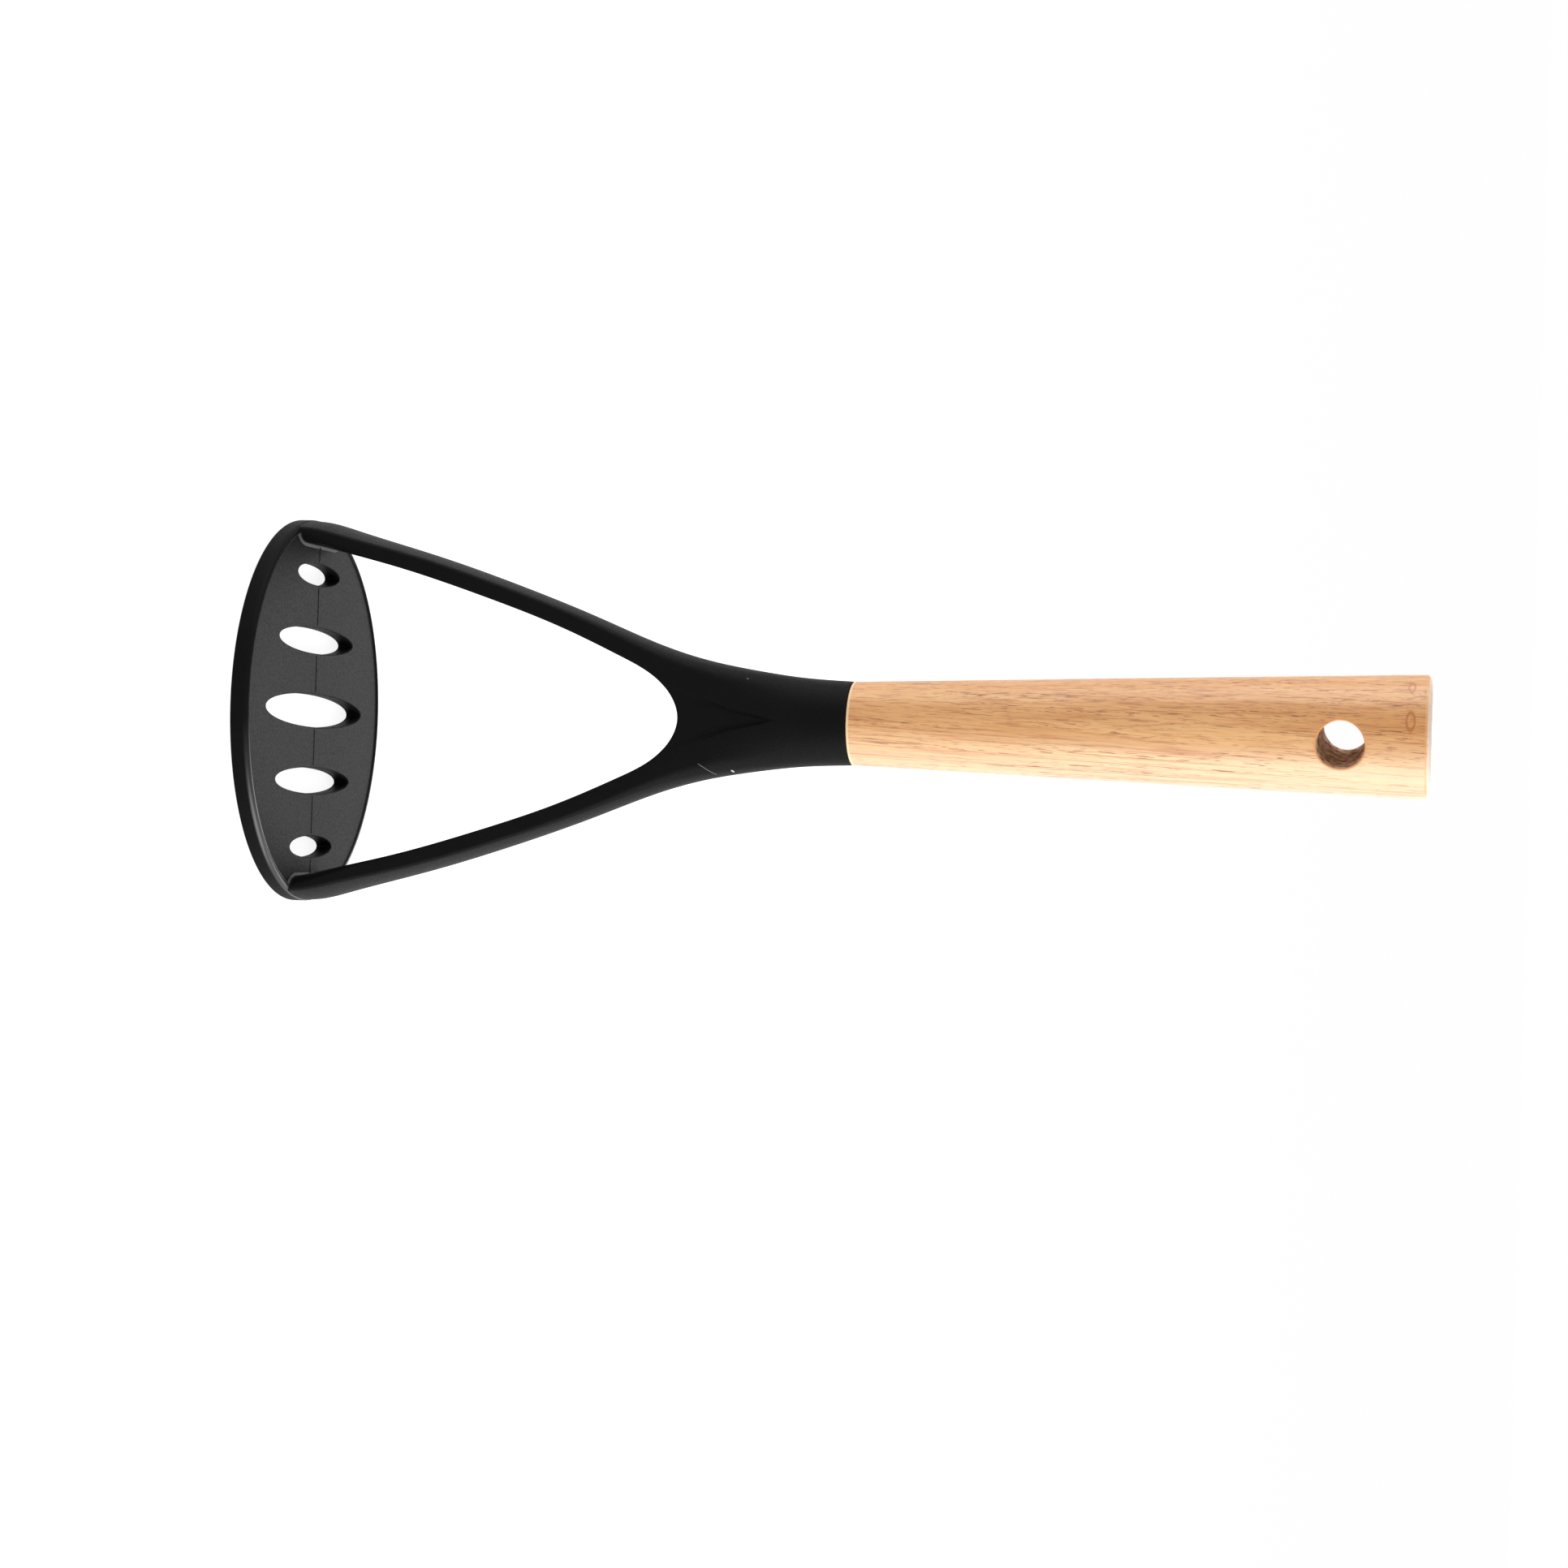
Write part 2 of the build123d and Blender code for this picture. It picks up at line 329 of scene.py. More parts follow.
@dataclass
class Fork:
    """The two arms and the neck of the head, in one skin with the tang.

    The heights are shares of the fork's height, the reaches shares of what the disc stands out
    beyond the collar, the arm depths shares of root less waist, and the neck depths of collar less
    waist. The inside heights and widths are shares of the opening between the arms.
    """

    inset: float = 0.15
    foot: float = 1.8
    root_half_depth: float = 14.6
    waist_half_depth: float = 7.7
    edge: float = 1.0
    inner_edge: float = 0.7
    root_fillet: float = 0.85
    root_wider: float = 1.3
    root_deeper: float = 3.8
    root_round: tuple = (1.0, 17.0)
    crotch: float = 88.9
    pocket_depth: float = 0.8
    pocket_wall: float = 0.5
    pocket_slant: float = 0.97
    pocket_fade: tuple = (-1.0, 8.0)
    pocket_tip: float = 4.0
    pocket_low_share: float = 0.2
    collar_edge: float = 0.45
    tang_length: float = 32.0
    tang_core: float = 4.6
    tang_barb: float = 5.1
    barb_length: float = 12.0
    barb_count: int = 2
    first_barb: float = 5.0
    tang_chamfer: float = 1.2
    heights: tuple = (0.0, 0.034, 0.083, 0.237, 0.390, 0.541, 0.653, 0.738, 0.825, 0.911, 1.0)
    reaches: tuple = (1.0, 0.9915, 0.945, 0.780, 0.593, 0.382, 0.2156, 0.121, 0.060, 0.018, 0.0)
    arm_depths: tuple = (1.0, 0.93, 0.78, 0.40, 0.20, 0.03, 0.0)
    neck_depths: tuple = (0.09, 0.53, 1.0, 1.0)
    roundness: tuple = (0.0, 0.0, 0.0, 0.0, 0.0, 0.06, 0.20, 0.38, 0.60, 0.90, 0.998)
    crowns: tuple = (0.02, 0.02, 0.02, 0.02, 0.02, 0.03, 0.06, 0.20, 0.60, 0.94, 0.999)
    inside_heights: tuple = (0.26, 0.475, 0.69, 0.85, 0.959)
    inside_widths: tuple = (0.853, 0.699, 0.519, 0.353, 0.195)

    # Limits that keep the arcs of a section in reach of each other
    edge_limit: float = 0.998
    centre_limit: float = -1e-4
    turn_limit: float = 0.9999

    # How fine the mesh is: steps up the arm and near the crotch, and columns round a row
    samples: int = 4000
    sunk: float = 0.8
    arm_step: float = 1.0
    crotch_step: float = 0.42
    crotch_length: float = 34.0
    last_step: float = 0.3
    neck_step: float = 0.4
    fillet_rows: int = 9
    front_columns: int = 26
    edge_columns: int = 10
    end_columns: int = 10
    fillet_columns: int = 6
    wall_shares: tuple = (0.0, 0.34, 0.67, 1.0)

    # Where rows go round the arm's outer edge: how far above the foot the lowest one does, heights
    # up the opening, and where the rows that start at those heights and at the crotch do
    row_foot: float = 0.2
    row_starts: tuple = (8.0, 60.0, 76.0)
    row_ends: tuple = (8.0, 60.0, 77.5, 99.0)
    flare_fade: tuple = (37.8, 39.4)

    def __post_init__(self) -> None:
        """Works out the curves of the section up the fork, and the side of the opening."""
        z = self.foot + (SEAM_HEIGHT - self.foot) * np.array(self.heights)
        spread = DISC_RADIUS - self.inset - SEAM_RADIUS
        reach = SEAM_RADIUS + spread * np.array(self.reaches)
        waist = self.waist_half_depth
        depth = np.concatenate([
            waist + (self.root_half_depth - waist) * np.array(self.arm_depths),
            waist + (SEAM_RADIUS - waist) * np.array(self.neck_depths),
        ])
        edge = self.edge + (depth - self.edge) * np.array(self.roundness)
        self.reach_at = smooth_curve(z, reach)
        self.depth_at = smooth_curve(z, depth)
        self.edge_at = steady_curve(z, edge)
        self.crown_at = steady_curve(z, np.array(self.crowns))
        self.opening = self._opening_side()

    def _opening_side(self) -> tuple[np.ndarray, np.ndarray]:
        """Walks up the right side of the opening, from the disc to the crotch.

        Returns:
            Points in X and Z, and the directions there that point into the nylon.
        """
        rise = self.crotch - WEB_TOP
        inside = zip((1.0, *self.inside_widths, 0.0), (0.0, *self.inside_heights, 1.0))
        points = np.array([(INNER_HALF_WIDTH * w, WEB_TOP + rise * h) for w, h in inside])
        points[-1] = (0.0, self.crotch)
        along = step_lengths(points)
        start = (points[1] - points[0]) / along[1]
        side = smooth_curve(along, points, (start, (-1.0, 0.0)))
        fine = side(np.linspace(0, along[-1], self.samples))
        lengths = step_lengths(fine)
        turns = np.linspace(0, math.pi / 2, self.fillet_rows)
        lows = WEB_TOP + self.root_fillet * (1 - np.cos(turns))
        low_points = np.stack([np.interp(lows, fine[:, 1], fine[:, 0]), lows], axis=1)
        sunk = low_points[:1] - self.sunk * start
        place = float(np.interp(lows[-1], fine[:, 1], lengths))
        total = lengths[-1]
        spots = []
        while place < total - self.last_step:
            place += self.arm_step if place < total - self.crotch_length else self.crotch_step
            spots.append(min(place, total))
        if spots[-1] < total:
            spots.append(total)
        side_points = np.stack([np.interp(spots, lengths, fine[:, k]) for k in (0, 1)], axis=1)
        side_points[-1] = (0, self.crotch)
        ahead = np.gradient(fine, lengths, axis=0)
        places = np.concatenate([[0.0], np.interp(lows, fine[:, 1], lengths), spots])
        ahead = np.stack([np.interp(places, lengths, ahead[:, k]) for k in (0, 1)], axis=1)
        ahead /= np.linalg.norm(ahead, axis=1)[:, None]
        ahead[-1] = (-1, 0)
        points = np.concatenate([sunk, low_points, side_points])
        return points, np.stack([ahead[:, 1], -ahead[:, 0]], axis=1)

    def section(self, z: float) -> tuple[float, float, float, float, float, float]:
        """Works out the arcs of the section at a height.

        Args:
            z: the height.

        Returns:
            Reach, edge radius, the edge's centre in X and Y, and the front's radius and centre.
        """
        reach = float(self.reach_at(z))
        depth = float(self.depth_at(z))
        edge = min(float(self.edge_at(z)), depth * self.edge_limit)
        front = reach / float(self.crown_at(z))
        centre = min(depth - front, self.centre_limit)
        to_end = reach - edge
        to_front = front - edge
        edge_y = (centre ** 2 - to_front ** 2 + to_end ** 2) / (2 * centre)
        edge_y = min(max(edge_y, 0.0), to_end * self.turn_limit)
        edge_x = math.sqrt(max(to_end ** 2 - edge_y ** 2, 0.0))
        return reach, edge, edge_x, edge_y, front, centre

    def front_depth(self, x: float, z: float) -> float:
        """Gives how far the front face stands from the middle plane."""
        *_, front, centre = self.section(z)
        return centre + math.sqrt(max(front ** 2 - x ** 2, 0.0))

    def pocket(self, x: float, z: float) -> float:
        """Gives how deep the pocket between the arms lies under the front face.

        Args:
            x: the place across the fork.
            z: the height.

        Returns:
            The depth, 0 outside the pocket.
        """
        top = POCKET_HEIGHTS[-1]
        inside = float(np.interp(z, POCKET_HEIGHTS, POCKET_HALVES)) - abs(x)
        if inside <= 0 or z >= top:
            return 0.0
        wall = soft_step(0.0, self.pocket_wall, inside * self.pocket_slant)
        fade = soft_step(*(self.crotch + end for end in self.pocket_fade), z)
        tip = soft_step(0.0, self.pocket_tip, top - z)
        low = self.pocket_low_share
        return self.pocket_depth * wall * (low + (1 - low) * fade) * tip

    def half_row(self, start: tuple[float, float], z_end: float) -> list[tuple[float, float, float]]:
        """Walks from the front of the opening, or the middle, round to the arm's outer middle.

        Args:
            start: where the row starts on the front face, in X and Z.
            z_end: height at which it goes round the edge.

        Returns:
            Points of one quarter, as X, depth towards the front and Z.
        """
        reach, edge, edge_x, edge_y, front, centre = self.section(z_end)
        side_turn = math.atan2(edge_y - centre, edge_x)
        end_turn = math.atan2(edge_y, edge_x)
        last_x = front * math.cos(side_turn)
        row = []
        for i in range(self.front_columns + 1):
            s = i / self.front_columns
            x = start[0] + (last_x - start[0]) * s
            z = start[1] + (z_end - start[1]) * s * s * (3 - 2 * s)
            flare = self.flare(z) * (1 - soft_step(*self.flare_fade, x))
            row.append((x, self.front_depth(x, z) - self.pocket(x, z) + flare, z))
        for i in range(1, self.edge_columns + 1):
            turn = side_turn + (end_turn - side_turn) * i / self.edge_columns
            row.append((edge_x + edge * math.cos(turn), edge_y + edge * math.sin(turn), z_end))
        for i in range(1, self.end_columns + 1):
            turn = end_turn * (1 - i / self.end_columns)
            row.append((reach * math.cos(turn), reach * math.sin(turn), z_end))
        return row

    def flare(self, z: float) -> float:
        """Gives how far the fillet at the disc stands out from the arm at a height."""
        up = min(max((z - WEB_TOP) / self.root_fillet, 0.0), 1.0)
        return self.root_fillet * (1 - math.sqrt(1 - (1 - up) ** 2))

    def inner_row(self, x: float, z: float, nx: float, nz: float) -> tuple[list, tuple[float, float]]:
        """Walks along the wall of the opening and round its edge to the front face.

        Args:
            x: half width of the opening there.
            z: height there.
            nx: X of the direction into the nylon.
            nz: Z of that direction.

        Returns:
            Points of one quarter, and where the front face starts, in X and Z.
        """
        low = 1 - soft_step(*(WEB_TOP + end for end in self.root_round), z)
        wide = self.inner_edge + self.root_wider * low
        deep = self.inner_edge + self.root_deeper * low
        start = (max(x + wide * nx, 0.0), z + wide * nz)
        wall = self.front_depth(*start) - self.pocket(*start) - deep
        row = [(x - self.flare(z), wall * share, z) for share in self.wall_shares]
        for i in range(1, self.fillet_columns + 1):
            turn = math.pi / 2 * i / self.fillet_columns
            out = wide * (1 - math.cos(turn))
            here = z + out * nz
            lean = np.array([-math.cos(turn) * deep, math.sin(turn) * wide])
            lean *= self.flare(here) / np.linalg.norm(lean)
            row.append((max(x + out * nx, 0.0) + lean[0], wall + deep * math.sin(turn) + lean[1], here))
        return row, start

    def quarter(self, skin: Skin, quarter: Quarter) -> None:
        """Adds one quarter of the fork to a skin.

        Args:
            skin: the skin that the quarter joins.
            quarter: which of the four it is.
        """
        sign_x, sign_depth = quarter.value
        flip = np.array([sign_x, -sign_depth, 1.0])
        points, dirs = self.opening
        along = step_lengths(points)
        neck_foot = self.crotch + self.inner_edge
        neck = SEAM_HEIGHT - self.collar_edge - self.crotch - self.inner_edge
        marks = [np.interp(z, points[:, 1], along) for z in self.row_starts]
        outer = steady_curve(
            [0.0, *marks, along[-1], along[-1] + neck],
            [self.foot + self.row_foot, *self.row_ends, SEAM_HEIGHT - self.collar_edge],
        )
        inner_rows = []
        face_rows = []
        for (x, z), (nx, nz), place in zip(points, dirs, along):
            row, start = self.inner_row(x, z, nx, nz)
            inner_rows.append(row)
            face_rows.append(self.half_row(start, float(outer(place))))
        skin.weave(skin.add(np.array(inner_rows) * flip))
        for place in np.linspace(0, neck, int(neck / self.neck_step) + 1)[1:]:
            face_rows.append(self.half_row((0.0, neck_foot + place), float(outer(along[-1] + place))))
        rows = skin.add(np.array(face_rows) * flip)
        skin.weave(rows)
        top_row = (np.array(face_rows[-1]) * flip)[:, :2]
        spokes = top_row / np.linalg.norm(top_row, axis=1)[:, None]
        skin.weave(np.concatenate([rows[-1:], self._tang(skin, spokes)]))

    def _tang(self, skin: Skin, spokes: np.ndarray) -> np.ndarray:
        """Adds the collar's rounded end and the barbed tang to one quarter.

        Args:
            skin: the skin that they join.
            spokes: directions from the axis, one for each column.

        Returns:
            The numbers of their points.
        """
        end = rounding(self.collar_edge, first=1)
        profile = [(SEAM_RADIUS - back, SEAM_HEIGHT - down) for down, back in end]
        profile.append((self.tang_core, SEAM_HEIGHT))
        feet = [SEAM_HEIGHT + self.first_barb + self.barb_length * i for i in range(self.barb_count + 1)]
        for foot in feet[:-1]:
            profile += [(self.tang_core, foot), (self.tang_barb, foot)]
        tip = SEAM_HEIGHT + self.tang_length
        profile += [
            (self.tang_core, feet[-1]), (self.tang_core, tip - self.tang_chamfer),
            (self.tang_core - self.tang_chamfer, tip), (0.0, tip),
        ]
        return skin.spin(profile, spokes)

    def build(self, material: Material) -> bpy.types.Object:
        """Builds the fork as one skin and dresses it.

        Args:
            material: the fork's nylon.

        Returns:
            The fork.
        """
        skin = Skin()
        for quarter in Quarter:
            self.quarter(skin, quarter)
        return dress(skin.build("masher_head_fork"), "masher_head", "nylon", material)


@dataclass
class Disc:
    """The slotted disc of the head, with its low lip and the mould's parting ridge."""

    lip_height: float = 0.4
    lip_crest: float = 1.25
    lip_flank: float = 0.6
    lip_edge: float = 1.2
    lip_steps: int = 8
    bottom_edge: float = 0.5
    places: tuple = (0.0, 15.651, 30.414)
    widths: tuple = (7.4, 5.8, 4.8)
    end_margins: tuple = (12.2, 16.2, 16.6)
    slot_edge: float = 0.35
    ridge_height: float = 0.11
    ridge_lift: float = 0.005
    ridge_run_out: float = 0.3
    ridge_profile: tuple = ((-0.35, 0.0), (-0.14, 1.0), (0.14, 1.0), (0.35, 0.0))
    even_weight: int = 80
    segments: int = 288
    slot_segments: int = 128

    def rim_profile(self) -> list[tuple[float, float]]:
        """Walks from the web over the lip and down the rim to the underside.

        Returns:
            Points as radius and Z.
        """
        foot = DISC_RADIUS - self.lip_crest - self.lip_flank
        top = WEB_TOP + self.lip_height
        profile = [
            (foot + self.lip_flank * s, WEB_TOP + self.lip_height * s * s * (3 - 2 * s))
            for s in (i / self.lip_steps for i in range(self.lip_steps + 1))
        ]
        lip = rounding(self.lip_edge, self.lip_steps)
        profile += [(DISC_RADIUS - back, top - down) for back, down in lip]
        return profile + [(DISC_RADIUS - back, up) for up, back in rounding(self.bottom_edge)]

    def slot_profile(self) -> list[tuple[float, float]]:
        """Walks down a slot's wall from the web to the underside, as widening and Z."""
        edge = rounding(self.slot_edge)
        return [(wide, WEB_TOP - down) for wide, down in edge] + [(wide, up) for up, wide in edge]

    def build(self, material: Material) -> bpy.types.Object:
        """Builds the disc as one closed skin and dresses it.

        Args:
            material: the disc's nylon.

        Returns:
            The disc.
        """
        skin = Skin()
        walls = [self._wall(skin, self.rim_profile(), self.segments)]
        for place, width, margin in zip(self.places, self.widths, self.end_margins):
            half = (width / 2, math.sqrt(DISC_RADIUS ** 2 - place ** 2) - margin)
            for x in sorted({place, -place}):
                walls.append(self._wall(skin, self.slot_profile(), self.slot_segments, half, x))
        for end in (0, -1):
            skin.fill([wall[end] for wall in walls])
        self._ridge(skin)
        piece = skin.build("masher_head_disc")
        weighted = piece.modifiers.new("even_normals", "WEIGHTED_NORMAL")
        weighted.weight = self.even_weight
        weighted.keep_sharp = True
        return dress(piece, "masher_head", "nylon", material)

    def _wall(self, skin: Skin, profile: list, segments: int, *hole: object) -> np.ndarray:
        """Adds the rim or the wall of a slot.

        Args:
            skin: the disc's skin.
            profile: its rings, as Skin.spin takes them.
            segments: how many faces run round it.
            *hole: the slot's half sizes and X, as Skin.spin takes them.

        Returns:
            The points' numbers, with a row for each ring.
        """
        turns = np.linspace(0, 2 * math.pi, segments, endpoint=False)
        rings = skin.spin(profile, directions(turns), *hole)
        skin.weave(rings, closed=True)
        return rings

    def _ridge(self, skin: Skin) -> None:
        """Adds the parting ridge on the plain stretches between the slots.

        Args:
            skin: the disc's skin.
        """
        ends = []
        for place, width in zip(self.places, self.widths):
            reach = width / 2 + self.slot_edge
            ends += [place - reach, place + reach]
        run = self.ridge_run_out
        foot = WEB_TOP + self.ridge_lift
        for start, end in zip(ends[1::2], ends[2::2] + [INNER_HALF_WIDTH]):
            stations = ((start, 0.0), (start + run, 1.0), (end - run, 1.0), (end, 0.0))
            for side in (1, -1):
                skin.weave(skin.add([
                    [(side * x, y, foot + self.ridge_height * up * scale) for y, up in self.ridge_profile]
                    for x, scale in stations
                ]))


@dataclass
class Handle:
    """The turned wooden handle, with its blind bore and the hole to hang it by."""

    butt_radius: float = 13.1
    mouth_edge: float = 0.45
    butt_edge: float = 1.6
    bore_radius: float = 5.4
    bore_end: float = 160.1
    drill_slope: float = 31.0
    hole_edge: float = 0.45

    # How fine the mesh is: rows up the handle, columns round it, and the square windows of half
    # the size and the columns given that hold the hole's two mouths
    columns: int = 192
    window: float = 8.0
    window_steps: int = 20
    shaft_foot: float = 2.0
    shaft_rows: int = 24
    end_rows: int = 5
    butt_steps: int = 10
    butt_shares: tuple = (0.97, 0.6, 0.0)
    mouth_rings: int = 15
    mouth_ease: float = 1.4
    wall_rings: int = 18

    def radius(self, z: float) -> float:
        """Gives the handle's radius at a height."""
        share = (z - SEAM_HEIGHT) / (BUTT_HEIGHT - SEAM_HEIGHT)
        return SEAM_RADIUS + (self.butt_radius - SEAM_RADIUS) * share

    def build(self, material: Material, bored: Material) -> bpy.types.Object:
        """Builds the handle as one closed skin and dresses it.

        Args:
            material: the lacquered wood outside.
            bored: the bare wood in the hole.

        Returns:
            The handle.
        """
        skin = Skin()
        facing = math.radians(HOLE_TURN - 90)
        spokes = directions(facing + np.arange(self.columns) * 2 * math.pi / self.columns)
        low, high = HOLE_HEIGHT - self.window, HOLE_HEIGHT + self.window
        drill_point = self.bore_radius * math.tan(math.radians(self.drill_slope))
        below = [(0.0, self.bore_end + drill_point)]
        below += [(self.bore_radius, self.bore_end), (self.bore_radius, SEAM_HEIGHT)]
        below += [(SEAM_RADIUS - back, SEAM_HEIGHT + up) for back, up in rounding(self.mouth_edge)]
        below += self._cone(SEAM_HEIGHT + self.shaft_foot, low, self.shaft_rows)
        edge_foot = BUTT_HEIGHT - self.butt_edge
        edge_radius = self.radius(edge_foot)
        above = self._cone(high, edge_foot, self.end_rows)
        butt = rounding(self.butt_edge, self.butt_steps, first=1)
        above += [(edge_radius - back, BUTT_HEIGHT - down) for down, back in butt]
        above += [((edge_radius - self.butt_edge) * s, BUTT_HEIGHT) for s in self.butt_shares]
        for profile in (below, above):
            skin.weave(skin.spin(profile, spokes), closed=True)
        band = skin.spin(self._cone(low, high, 2 * self.window_steps + 1), spokes)
        skin.weave(band, closed=True, keep=self._beside_windows)
        self._hole(skin, facing)
        return dress(skin.build("wooden_handle_turned"), "wooden_handle", "handle_wood", material, bored)

    def _cone(self, low: float, high: float, rows: int) -> list[tuple[float, float]]:
        """Walks up the handle's plain side, as radius and Z."""
        return [(self.radius(z), z) for z in np.linspace(low, high, rows)]

    def _beside_windows(self, column: int) -> bool:
        """Says whether a column's faces lie beside the two windows of the hole."""
        past_edge = (column + self.window_steps) % (self.columns // 2)
        return past_edge >= 2 * self.window_steps

    def _hole(self, skin: Skin, facing: float) -> None:
        """Adds the two windows round the hole, its rounded mouths and its wall.

        Args:
            skin: the handle's skin.
            facing: the angle round the handle that the hole's near mouth faces.
        """
        out = np.array([math.cos(facing), math.sin(facing), 0.0])
        across = np.array([-math.sin(facing), math.cos(facing), 0.0])
        n = self.window_steps
        step = 2 * math.pi / self.columns
        edge = [(i, -n) for i in range(-n, n)] + [(n, i) for i in range(-n, n)]
        edge += [(i, n) for i in range(n, -n, -1)] + [(-n, i) for i in range(n, -n, -1)]
        border = []
        for i, k in edge:
            v = self.window * k / n
            border.append((self.radius(HOLE_HEIGHT + v) * math.sin(i * step), v))
        border = np.array(border)
        spokes = border / np.linalg.norm(border, axis=1)[:, None]
        outer = HOLE_RADIUS + self.hole_edge
        shares = np.linspace(1, 0, self.mouth_rings) ** self.mouth_ease
        flats = [(border * s + spokes * outer * (1 - s), 0.0) for s in shares]
        mouth = rounding(self.hole_edge, first=1)
        flats += [(spokes * (HOLE_RADIUS + wide), drop) for wide, drop in mouth]
        rims = []
        for side in (1, -1):
            loops = [self._on_cone(flat, drop, side, out, across) for flat, drop in flats]
            numbers = skin.add(loops)
            skin.weave(numbers, closed=True)
            rims.append((numbers[-1:], loops[-1]))
        (near, near_points), (far, far_points) = rims
        shares = np.linspace(0, 1, self.wall_rings)[1:-1]
        walls = [near_points + (far_points - near_points) * s for s in shares]
        skin.weave(np.concatenate([near, skin.add(walls), far]), closed=True, finish=1)

    def _on_cone(
        self, flat: np.ndarray, drop: float, side: int, out: np.ndarray, across: np.ndarray
    ) -> np.ndarray:
        """Lays flat points round the hole's axis on the handle's skin.

        Args:
            flat: places across the hole's axis and up the handle, from the axis.
            drop: how far under the skin they lie.
            side: 1 for the near mouth and -1 for the far one.
            out: direction of the hole towards the near mouth.
            across: direction across the hole.

        Returns:
            The points in space.
        """
        z = HOLE_HEIGHT + flat[:, 1]
        deep = np.sqrt(np.maximum(self.radius(z) ** 2 - flat[:, 0] ** 2, 0)) - drop
        return flat[:, :1] * across + side * deep[:, None] * out + np.stack([0 * z, 0 * z, z], axis=1)


def colour(screen: tuple) -> tuple[float, ...]:
    """Turns a screen colour in shares of 255 into the light that a shader takes."""
    shares = [v / 255 for v in screen]
    return (*(v / 12.92 if v <= 0.04045 else ((v + 0.055) / 1.055) ** 2.4 for v in shares), 1.0)


@dataclass(frozen=True)
class Noise:
    """Noise that is stretched up the piece, in waves to a millimetre across and along."""

    across: float
    along: float
    shift: tuple = (0, 0, 0)
    detail: float = 3.0
    rough: float = 0.5


class Shader:
    """A material, a world or a node group that is being wired."""

    def __init__(self, tree: bpy.types.NodeTree) -> None:
        """Starts on an empty tree."""
        self.tree = tree
        tree.nodes.clear()

    @cached_property
    def place(self) -> Socket:
        """Gives the place on the object, in metres."""
        return self.node("ShaderNodeTexCoord").outputs["Object"]

    @cached_property
    def in_mm(self) -> list[Socket]:
        """Gives X, Y and Z of the place, in millimetres."""
        parts = self.node("ShaderNodeSeparateXYZ", {0: self.place}).outputs
        return [self.math("DIVIDE", part, MM) for part in parts]

    def node(self, kind: str, inputs: dict | None = None, **settings: object) -> bpy.types.Node:
        """Adds a node.

        Args:
            kind: the node's kind.
            inputs: values or other sockets for its inputs, by name or number.
            **settings: its settings.

        Returns:
            The node.
        """
        node = self.tree.nodes.new(kind)
        for key, value in settings.items():
            setattr(node, key, value)
        for key, value in (inputs or {}).items():
            self.feed(node.inputs[key], value)
        return node

    def feed(self, target: Socket, value: object) -> None:
        """Wires a socket to another, or writes a value on it.

        Args:
            target: the socket that takes it.
            value: another socket, or a value.
        """
        if isinstance(value, Socket):
            self.tree.links.new(value, target)
        else:
            target.default_value = value

    def math(self, operation: str, *values: object) -> Socket:
        """Adds a sum and returns its result."""
        inputs = dict(enumerate((*values, 0.0, 0.0)[:3]))
        return self.node("ShaderNodeMath", inputs, operation=operation).outputs[0]

    def times(self, first: object, second: object) -> Socket:
        """Multiplies two values."""
        return self.math("MULTIPLY", first, second)

    def length(self, x: Socket, y: Socket) -> Socket:
        """Measures how long the line is that goes x one way and y square to it."""
        return self.math("SQRT", self.math("MULTIPLY_ADD", x, x, self.times(y, y)))

    def spread(self, value: object, low: float, high: float, *to: float) -> Socket:
        """Maps a value from one range to 0 to 1, or to the range given, clamped."""
        inputs = dict(enumerate((value, low, high, *(to or (0.0, 1.0)))))
        return self.node("ShaderNodeMapRange", inputs).outputs[0]

    def fade(self, value: Socket, start: float, ends: tuple[float, float]) -> Socket:
        """Maps a value to 0 to 1 between two ends that are given from a start."""
        return self.spread(value, *(start + end for end in ends))

    def mix(self, share: object, first: object, second: object, how: Blend = Blend.MIX) -> Socket:
        """Mixes two colours.

        Args:
            share: how much of the second shows.
            first: the first, as a socket or as a screen colour.
            second: the second, likewise.
            how: how the second is laid on the first.

        Returns:
            The mixed colour.
        """
        node = self.node("ShaderNodeMix", {"Factor": share}, data_type="RGBA", blend_type=how.value)
        sockets = [s for s in node.inputs if s.type == "RGBA"]
        for socket, value in zip(sockets, (first, second)):
            self.feed(socket, colour(value) if isinstance(value, tuple) else value)
        return next(s for s in node.outputs if s.type == "RGBA")

    def layers(self, base: Socket, *layers: tuple[Socket, object]) -> Socket:
        """Lays colours over a base.

        Args:
            base: the colour underneath.
            *layers: the mask and the colour of each, from the lowest up.

        Returns:
            The colour of them all.
        """
        for mask, tint in layers:
            base = self.mix(mask, base, tint)
        return base

    def noise(self, place: Socket, noise: Noise) -> Socket:
        """Adds noise.

        Args:
            place: the place on the object.
            noise: its kind.

        Returns:
            The noise's value.
        """
        scale = [s / MM for s in (noise.across, noise.across, noise.along)]
        stretch = {"Vector": place, "Scale": scale, "Location": noise.shift}
        vector = self.node("ShaderNodeMapping", stretch).outputs[0]
        inputs = {"Vector": vector, "Scale": 1.0, "Detail": noise.detail, "Roughness": noise.rough}
        return self.node("ShaderNodeTexNoise", inputs).outputs["Fac"]


